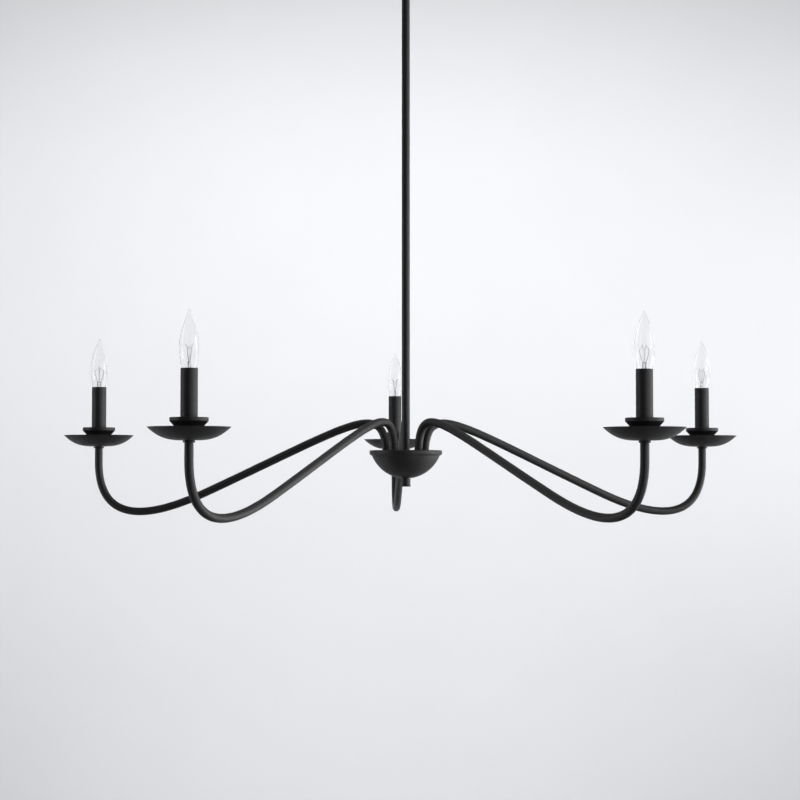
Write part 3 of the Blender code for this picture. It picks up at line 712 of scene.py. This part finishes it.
def leads(number):
    """Two bowed lead wires, two hooked side supports and the low centre support."""
    parts = []
    for way in (-1, 1):
        path = [in_bulb(way * 0.0016, 0, -0.0060), in_bulb(way * 0.0020, 0, 0.0040),
                in_bulb(way * 0.0026, 0, MOUNT_TOP), in_bulb(way * 0.0049, 0, 0.0150),
                in_bulb(way * 0.0066, 0, 0.0210), in_bulb(way * 0.0070, 0, 0.0255),
                in_bulb(way * 0.0064, 0, LEAD_TOP), in_bulb(way * 0.0059, 0, LEAD_TOP - 0.0006)]
        parts.append(round_wire("lead", path, 0.00030, LEAD_WIRE))
        hook = [in_bulb(0, way * 0.0004, MOUNT_TOP - 0.0015), in_bulb(0, way * 0.0012, 0.0150),
                in_bulb(0, way * 0.0034, 0.0240), in_bulb(0, way * 0.0053, 0.0322),
                in_bulb(0, way * 0.0057, 0.0330),
                in_bulb(0, way * 0.0060, 0.0325), in_bulb(0, way * 0.0056, 0.0319)]
        parts.append(round_wire("support", hook, 0.00012, LEAD_WIRE))
    centre = [in_bulb(0.0002, 0, MOUNT_TOP - 0.0015), in_bulb(0.0003, 0, 0.0166),
              in_bulb(0.0002, 0, 0.0250), in_bulb(0, 0.0004, 0.0260), in_bulb(-0.0004, 0, 0.0256)]
    parts.append(round_wire("centre_support", centre, 0.00012, LEAD_WIRE))
    return join("filament_leads_%d" % number, parts)


def filament(number):
    """A coiled tungsten filament from lead to support, down to the centre, and back up."""
    knots = [in_bulb(-0.0061, 0, LEAD_TOP - 0.0003), in_bulb(0, -0.0056, 0.0325), in_bulb(0, 0, 0.0257),
             in_bulb(0, 0.0056, 0.0325), in_bulb(0.0061, 0, LEAD_TOP - 0.0003)]
    points = []
    turns_per_metre, coil = 2600, 0.00022
    for start, end in zip(knots, knots[1:]):
        line = end - start
        along = line.normalized()
        across = along.cross(Vector((0.2, 0.1, 1))).normalized()
        beside = along.cross(across)
        turns = int(line.length * turns_per_metre)
        for step in range(turns * 6):
            t = step / (turns * 6)
            sag = Vector((0, 0, -0.0004 * sin(pi * t)))
            spin = 2 * pi * turns * t
            points.append(start + line * t + sag + coil * (cos(spin) * across + sin(spin) * beside))
    points.append(knots[-1])
    curve = bpy.data.curves.new("filament", "CURVE")
    curve.dimensions = "3D"
    curve.bevel_depth = 0.00006
    curve.bevel_resolution = 1
    spline = curve.splines.new("POLY")
    spline.points.add(len(points) - 1)
    for knot, point in zip(spline.points, points):
        knot.co = (*point, 1)
    return curve_piece("coiled_filament_%d" % number, curve, TUNGSTEN)


def bulb_base(number):
    """The screw shell with its rolled thread and plain skirt, and the black insulator under it."""
    shell = threaded("screw_shell", NICKEL, BASE_RADIUS - 0.00055, BASE_RADIUS,
                     BASE_LOW + 0.0025, BASE_HIGH - 0.0030, THREAD_PITCH)
    skirt_low, out = BASE_HIGH - 0.0031, BASE_RADIUS - 0.0001
    corners = [(0, skirt_low, 0), (BASE_RADIUS - 0.0006, skirt_low, 0.0002),
               (out, BASE_HIGH - 0.0024, 0.0003), (out, BASE_HIGH, 0.0002), (0, BASE_HIGH, 0)]
    skirt = lathe("skirt", rounded(corners), NICKEL, 64)
    foot_high = BASE_LOW + 0.0026
    corners = [(0, BASE_LOW, 0), (0.0030, BASE_LOW, 0.0003), (0.0040, BASE_LOW + 0.0006, 0.0003),
               (BASE_RADIUS - 0.0008, foot_high, 0.0003), (0, foot_high, 0)]
    foot = lathe("insulator", rounded(corners), INSULATOR, 64)
    joined = join("candelabra_base_%d" % number, [shell, skirt, foot])
    shaded(joined.data, 45)
    stands_for(at_light(joined, number), "bulb_%d" % number, "nickel", "bulb_base_%d" % number)


def bulb_contact(number):
    top = BASE_LOW - GAP
    corners = [(0, CONTACT_LOW, 0), (0.0019, CONTACT_LOW, 0.0008), (0.0026, CONTACT_LOW + 0.0012, 0.0006),
               (0.0025, top, 0.0002), (0, top, 0)]
    button = lathe("solder_contact_%d" % number, rounded(corners), SOLDER, 48)
    stands_for(at_light(button, number), "bulb_%d_rise" % number, "contact", "bulb_contact_%d" % number)


def bulb_inside(number):
    """The mount, leads and filament, which the glass hides no sight of."""
    for piece, slot in ((glass_mount(number), "clear_glass"), (leads(number), "contact"),
                        (filament(number), "contact")):
        at_light(piece, number)
        piece.rotation_euler.z += LEADS_TURN
        stands_for(piece, "bulb_%d" % number, slot)


# The hub and the stem ---------------------------------------------------------------------
def hub_bowl():
    """The spun bowl with its rolled band."""
    inside = BOWL_RADIUS - BOWL_WALL
    bottom = BOWL_MIDDLE - sqrt(BOWL_RADIUS ** 2 - BOWL_FLAT ** 2)
    start = asin(BOWL_FLAT / BOWL_RADIUS)
    end = asin(0.0532 / BOWL_RADIUS)
    turns = [start + (end - start) * k / 28 for k in range(29)]
    outer = [(BOWL_RADIUS * sin(t), BOWL_MIDDLE - BOWL_RADIUS * cos(t)) for t in turns]
    band = rounded([(0.0534, BEAD_LOW, 0), (BEAD_OUT - 0.0012, BEAD_LOW + 0.0010, 0.0010),
                    (BEAD_OUT, BEAD_LOW + 0.0032, 0.0020), (BEAD_OUT, BEAD_TOP, 0.0018),
                    (0.0490, BEAD_TOP, 0.0018), (0.0490, BEAD_TOP - 0.0070, 0.0010),
                    (0.0520, BEAD_LOW, 0)])
    inner = [(inside * sin(t), BOWL_MIDDLE - inside * cos(t)) for t in turns[-2:0:-1]]
    floor = bottom + BOWL_WALL
    hole = [(BOWL_FLAT, floor), (CLEAR_BORE, floor), (CLEAR_BORE, bottom)]
    bowl = lathe("spun_hub_bowl", outer + band + inner + hole, BLACK_METAL, 144)
    bowl.location.z = DATUM
    stands_for(bowl, "pendant", "black_metal", "hub_bowl")


def finial():
    """A plain cap with a faint lip round its foot."""
    bore_end = FINIAL_LOW + 0.0024
    corners = [(0, FINIAL_LOW, 0), (FINIAL_RADIUS, FINIAL_LOW, 0.0007),
               (FINIAL_RADIUS, FINIAL_LOW + 0.0022, 0.0005),
               (FINIAL_RADIUS - 0.0004, FINIAL_LOW + 0.0027, 0.0003),
               (FINIAL_RADIUS - 0.0004, FINIAL_HIGH, 0.0003),
               (CLEAR_BORE, FINIAL_HIGH, 0.0002), (CLEAR_BORE, bore_end, 0), (0, bore_end, 0)]
    cap = lathe("capped_finial", rounded(corners), BLACK_METAL, 72)
    cap.location.z = DATUM
    stands_for(cap, "pendant", "black_metal", "finial")


def hub_plate():
    """The pressed plate that the arms and the stem stand on, with a brazed fillet round each arm."""
    under = PLATE_TOP - PLATE_THICK
    inside = PLATE_RADIUS - 0.0015
    corners = [(CLEAR_BORE, under, 0), (inside, under, 0.0010), (inside, PLATE_SKIRT, 0.0002),
               (PLATE_RADIUS, PLATE_SKIRT, 0.0002),
               (PLATE_RADIUS, PLATE_TOP, 0.0018), (CLEAR_BORE, PLATE_TOP, 0.0002)]
    plate = lathe("pressed_hub_plate", rounded(corners), BLACK_METAL, 120)
    plate.location.z = DATUM
    crossing = next(out for out, height in arm_line(400) if height > PLATE_TOP)
    holes = []
    for number in LIGHTS:
        hole = drill(TUBE_RADIUS + GAP, 0.026, 0.040, BLACK_METAL, 48)
        hole.location = (crossing * cos(azimuth_of(number)), crossing * sin(azimuth_of(number)), DATUM)
        holes.append(hole)
    cut(plate, holes)
    stands_for(plate, "pendant", "black_metal", "hub_plate")
    for number in LIGHTS:
        corners = [(TUBE_RADIUS, PLATE_TOP, 0), (TUBE_RADIUS + 0.0016, PLATE_TOP + 0.0001, 0.0002),
                   (TUBE_RADIUS + 0.0006, PLATE_TOP + 0.0006, 0.0008), (TUBE_RADIUS, PLATE_TOP + 0.0018, 0)]
        fillet = lathe("brazed_fillet_%d" % number, rounded(corners), BLACK_METAL, 48)
        fillet.location = (crossing * cos(azimuth_of(number)), crossing * sin(azimuth_of(number)), DATUM)
        stands_for(fillet, "pendant", "black_metal")


def stem():
    corners = [(TUBE_BORE, STEM_LOW, 0.0002), (TUBE_RADIUS, STEM_LOW, 0.0003),
               (TUBE_RADIUS, STEM_HIGH, 0.0003), (TUBE_BORE, STEM_HIGH, 0.0002)]
    tube = lathe("straight_stem", rounded(corners), BLACK_METAL, 64)
    stands_for(tube, "pendant", "black_metal", "stem_tube")


def nipple(node, body):
    """A short threaded pipe that the wires run through."""
    low, high = (corner.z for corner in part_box(node))
    pipe = threaded("threaded_" + node, ZINC, SPIGOT_RADIUS - 0.0004, SPIGOT_RADIUS, low, high,
                    NIPPLE_PITCH, SPIGOT_BORE, 48, 6)
    stands_for(pipe, body, "zinc_steel", node)


def hub_fastenings():
    """The threaded nipple and the hexagon nut inside the hub."""
    nipple("centre_nipple", "pendant")
    low, high = (corner.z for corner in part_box("hub_nut"))
    corner = (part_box("hub_nut")[1].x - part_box("hub_nut")[0].x) / 2
    outline = [(0.0061, low, 0), (corner - 0.0016, low, 0.0006), (corner, low + 0.0010, 0.0003),
               (corner, high - 0.0010, 0.0003), (corner - 0.0016, high, 0.0006), (0.0061, high, 0)]
    chamfer = lathe("nut_blank", rounded(outline), ZINC, 96)
    flats = []
    flat = corner * cos(pi / 6)
    for k in range(6):
        side = block("nut_flat", (0.01, 0.02, 0.01), (flat + 0.01, 0, (low + high) / 2), ZINC)
        side.rotation_euler.z = radians(30 + 60 * k)
        flats.append(side)
    nut = cut(chamfer, flats)
    nut.name = "hexagon_hub_nut"
    stands_for(nut, "pendant", "zinc_steel", "hub_nut")


# The swivel and the ceiling fixing --------------------------------------------------------
def swivel():
    low, high = (corner.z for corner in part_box("swivel_yoke"))
    yoke_radius, crown, slot = 0.0104, -0.0415, 0.0074
    corners = [(CLEAR_BORE, low, 0.0003), (yoke_radius, low, 0.0012),
               (yoke_radius, high, 0.0012), (CLEAR_BORE, high, 0.0004)]
    blank = lathe("swivel_clevis", rounded(corners), BLACK_METAL, 96)
    tools = [block("slot", (slot, 0.02, (crown - low) / 2 + 0.005), (0, 0, (crown + low) / 2 - 0.005),
                   BLACK_METAL)]
    hole = crosswise(drill(PIN_BORE, -0.02, 0.02, BLACK_METAL, 40))
    hole.location = PIVOT
    tools.append(hole)
    stands_for(cut(blank, tools, 0.0004), "swivel", "black_metal", "swivel_yoke")

    head, half, thick, shank = 0.0038, 0.0110, 0.0015, 0.0025
    end = half + thick
    corners = [(0, -end, 0), (head * 0.75, -end, 0.0008), (head, -half, 0.0003), (shank, -half, 0),
               (shank, half, 0), (head, half, 0.0003), (head * 0.75, end, 0.0008), (0, end, 0)]
    pin = crosswise(lathe("riveted_swivel_pin", rounded(corners), ZINC, 48))
    pin.location = PIVOT
    stands_for(pin, "swivel", "zinc_steel", "swivel_pin")

    ball = 0.0070
    neck = SPIGOT_RADIUS
    shoulder = STEM_HIGH + GAP
    last = pi - asin(neck / ball)
    sphere = [(ball * sin(last * k / 24), PIVOT.z + ball * cos(last * k / 24)) for k in range(25)]
    rest = rounded([(neck, shoulder + 0.0042, 0.0006), (ball, shoulder + 0.0030, 0.0006),
                    (ball, shoulder, 0.0003), (neck, shoulder, 0), (neck, shoulder - 0.0150, 0.0004),
                    (0.0030, shoulder - 0.0150, 0.0003), (0.0030, shoulder + 0.006, 0),
                    (0, shoulder + 0.006, 0)])
    knuckle = lathe("ball_knuckle", sphere + rest, BLACK_METAL, 72)
    hole = crosswise(drill(PIN_BORE, -0.02, 0.02, BLACK_METAL, 40))
    hole.location = PIVOT
    stands_for(cut(knuckle, [hole]), "pendant", "black_metal", "swivel_knuckle")


def canopy():
    radius, depth, corner, wall, rim = 0.0635, 0.0260, 0.0140, 0.0012, 0.0018
    turns = [pi / 2 * k / 20 for k in range(21)]
    outer = [(radius - corner + corner * cos(t), -depth + corner - corner * sin(t)) for t in turns]
    inner = [(radius - corner + (corner - wall) * cos(t), -depth + corner - (corner - wall) * sin(t))
             for t in turns[::-1]]
    outline = ([(radius, 0), (radius, -0.0003)] + outer
               + [(CLEAR_BORE, -depth), (CLEAR_BORE, -depth + wall)] + inner
               + [(radius - wall, -0.0030), (radius - rim, -0.0026), (radius - rim, 0)])
    shell = lathe("rounded_canopy", outline, BLACK_METAL, 160)
    tools = []
    for side in (-1, 1):
        hole = drill(SCREW_BORE, -0.05, -0.01, BLACK_METAL, 32)
        hole.location.x = side * SCREW_PLACE
        tools.append(hole)
    stands_for(cut(shell, tools), "ceiling_fixing", "black_metal", "canopy")


def crossbar():
    """A stamped steel strap with rounded ends, box slots, tapped screw holes and a nipple hole."""
    low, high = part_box("crossbar")
    half_length, half_width, thick = high.x, high.y, high.z - low.z
    bm = bmesh.new()
    corner = 0.006
    outline = []
    for cx, cy, first in ((1, 1, 0), (-1, 1, 90), (-1, -1, 180), (1, -1, 270)):
        for k in range(9):
            t = radians(first + 90 * k / 8)
            outline.append((cx * (half_length - corner) + corner * cos(t),
                            cy * (half_width - corner) + corner * sin(t)))
    base = bm.faces.new([bm.verts.new((x, y, -thick)) for x, y in outline])
    lifted = bmesh.ops.extrude_face_region(bm, geom=[base])["geom"]
    bmesh.ops.translate(bm, verts=[v for v in lifted if isinstance(v, bmesh.types.BMVert)],
                        vec=(0, 0, thick))
    bar = to_object(bm, "stamped_crossbar", ZINC)
    tools = []
    for x, radius in ((0, CLEAR_BORE), (-SCREW_PLACE, SCREW_BORE), (SCREW_PLACE, SCREW_BORE)):
        hole = drill(radius, -0.01, 0.01, ZINC, 40)
        hole.location.x = x
        tools.append(hole)
    for side in (-1, 1):
        tools.append(block("slot", (*BOX_SLOT, 0.01), (side * BOX_SLOT_PLACE, 0, 0), ZINC))
    stands_for(cut(bar, tools, 0.0003), "ceiling_fixing", "zinc_steel", "crossbar")


def ceiling_fastenings():
    nipple("ceiling_nipple", "ceiling_fixing")
    for number in (1, 2):
        node = "canopy_screw_%d" % number
        place = middle(node)
        low, high = (corner.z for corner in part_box(node))
        head = 0.0050
        under = low + head
        ball = [(head * sin(radians(t)), under - head * cos(radians(t))) for t in range(0, 88, 6)]
        collar = [(head, under - 0.0001), (head - 0.0002, under)]
        screw = lathe("screw_head", [(0, low)] + ball[1:] + collar + [(0, under)], BLACK_METAL, 56)
        shank = threaded("screw_shank", ZINC, 0.0016, 0.0020, under - 0.0002, high, 0.0008, None, 32, 6)
        joined = join("ball_headed_screw_%d" % number, [screw, shank])
        shaded(joined.data, 45)
        joined.location.x = place.x
        stands_for(joined, "ceiling_fixing", "black_metal", node)


# The stage --------------------------------------------------------------------------------
WALL_TONE = (0.80, 0.81, 0.83)


def stage_material():
    made, tree, shader = new_material("matt_pale_backdrop")
    mottle = noise(tree, 2.2, 4, 0.55)
    low = tuple(0.985 * channel for channel in WALL_TONE)
    tree.links.new(ramp(tree, mottle, [(0.3, low), (0.7, WALL_TONE)]), shader.inputs["Base Color"])
    shader.inputs["Roughness"].default_value = 0.9
    shader.inputs["Specular IOR Level"].default_value = 0.1
    bump(tree, shader, [(noise(tree, 120, 2), 0.05, 0.001)])
    return made


def backdrop():
    """A pale floor that curves up into a wall far behind the lamp."""
    floor, back, front, side, curve, top = DATUM - 3.5, 7.0, -9.0, 11.0, 2.5, DATUM + 5.5
    profile = [(front, floor), (0, floor)]
    profile += [(back - curve + curve * sin(t), floor + curve - curve * cos(t))
                for t in (radians(5 * k) for k in range(19))]
    profile.append((back, top))
    bm = bmesh.new()
    rows = [[bm.verts.new((x, y, z)) for x in (-side, 0, side)] for y, z in profile]
    for low, high in zip(rows, rows[1:]):
        for k in (0, 1):
            bm.faces.new((low[k], low[k + 1], high[k + 1], high[k]))
    sweep = to_object(bm, "pale_backdrop", stage_material(), 80)


def softbox(name, place, aim, width, height, power, spread=60):
    """A rectangular light at a place, turned to its aim, with its beam held to a spread in degrees."""
    light = bpy.data.lights.new(name, "AREA")
    light.spread = radians(spread)
    light.shape = "RECTANGLE"
    light.size, light.size_y = width, height
    light.energy = power
    made = linked(name, light)
    made.location = place
    made.rotation_euler = (Vector(aim) - Vector(place)).to_track_quat("-Z", "Y").to_euler()
    return made


LIGHT_REACH = 3.3                           # the softboxes' distance from the hub
PANEL = 1.45                                # the side of a softbox in a bank


def bank(name, azimuths, elevations, size, power):
    """Equal softboxes round the lamp, by azimuth from the camera's side and by elevation."""
    for azimuth in azimuths:
        for elevation in elevations:
            a, e = radians(azimuth), radians(elevation)
            out = LIGHT_REACH * cos(e)
            place = (out * sin(a), -out * cos(a), DATUM + LIGHT_REACH * sin(e))
            softbox(name, place, (0, 0, DATUM), size, size, power)


def lighting():
    """Banks of softboxes round the lamp, washes on the wall, and a dim room beyond."""
    heights = (-37, -12, 13, 38)
    bank("key_bank", (87, 112), (-12,), PANEL, 2.03)
    bank("front_bank", (35, 62, 87, 112), (13,), PANEL, 0.99)
    bank("low_front_bank", (35,), (-37, -12), PANEL, 0.60)
    bank("right_bank", (87, 112, 137), heights, PANEL, 0.27)
    bank("left_bank", (-87, -112, -137), heights, PANEL, 0.18)
    bank("top_bank", (0, 90, 180, -90), (65,), 1.6, 0.59)
    bank("left_window", (-80,), (0,), 0.9, 0.8)
    bank("right_window", (80,), (16,), 0.9, 0.8)
    softbox("wall_wash_high_right", (5.0, 4.0, DATUM + 4.2), (2.6, 7, DATUM + 2.7), 3.0, 0.8, 22, 110)
    softbox("wall_wash_high_left", (-5.0, 4.0, DATUM + 4.2), (-2.6, 7, DATUM + 2.7), 3.0, 0.8, 20, 110)
    softbox("wall_wash", (0.0, 4.2, DATUM + 3.0), (0.0, 7, DATUM + 0.3), 4.0, 0.8, 49, 110)
    softbox("wall_wash_low", (0.0, 4.2, DATUM - 2.4), (0.0, 7, DATUM - 0.3), 4.0, 0.8, 24, 110)
    softbox("wall_wash_right", (4.6, 4.0, DATUM + 0.8), (2.6, 7, DATUM + 0.2), 1.0, 2.0, 38, 110)
    softbox("wall_wash_left", (-4.6, 4.0, DATUM + 0.8), (-2.6, 7, DATUM + 0.2), 1.0, 2.0, 24, 110)
    softbox("wall_wash_far_right", (7.5, 3.5, DATUM + 1.5), (7, 7, DATUM + 0.2), 2.0, 3.0, 25, 120)
    softbox("wall_wash_far_left", (-7.5, 3.5, DATUM + 1.5), (-7, 7, DATUM + 0.2), 2.0, 3.0, 22, 120)
    world = bpy.data.worlds.new("studio")
    bpy.context.scene.world = world
    world.use_nodes = True
    world.node_tree.nodes["Background"].inputs["Color"].default_value = (0.028, 0.028, 0.029, 1)


def camera():
    data = bpy.data.cameras.new("camera")
    data.sensor_width = 36
    data.lens = CAMERA_LENS
    data.clip_end = 60
    made = linked("camera", data)
    made.location = CAMERA_PLACE
    made.rotation_euler = (radians(90) + CAMERA_PITCH, 0, CAMERA_YAW)
    bpy.context.scene.camera = made


# Assembly ---------------------------------------------------------------------------------
camera()
for light in LIGHTS:
    for build in (arm, check_ring, drip_pan, candle_cup, candle_sleeve, lamp_socket,
                  bulb_glass, bulb_inside, bulb_base, bulb_contact):
        build(light)
for build in (hub_bowl, finial, hub_plate, stem, hub_fastenings, swivel, canopy, crossbar,
              ceiling_fastenings):
    build()
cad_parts["wiring_harness"].data.materials[0] = PVC
backdrop()
lighting()
bpy.context.scene.view_settings.view_transform = "Standard"
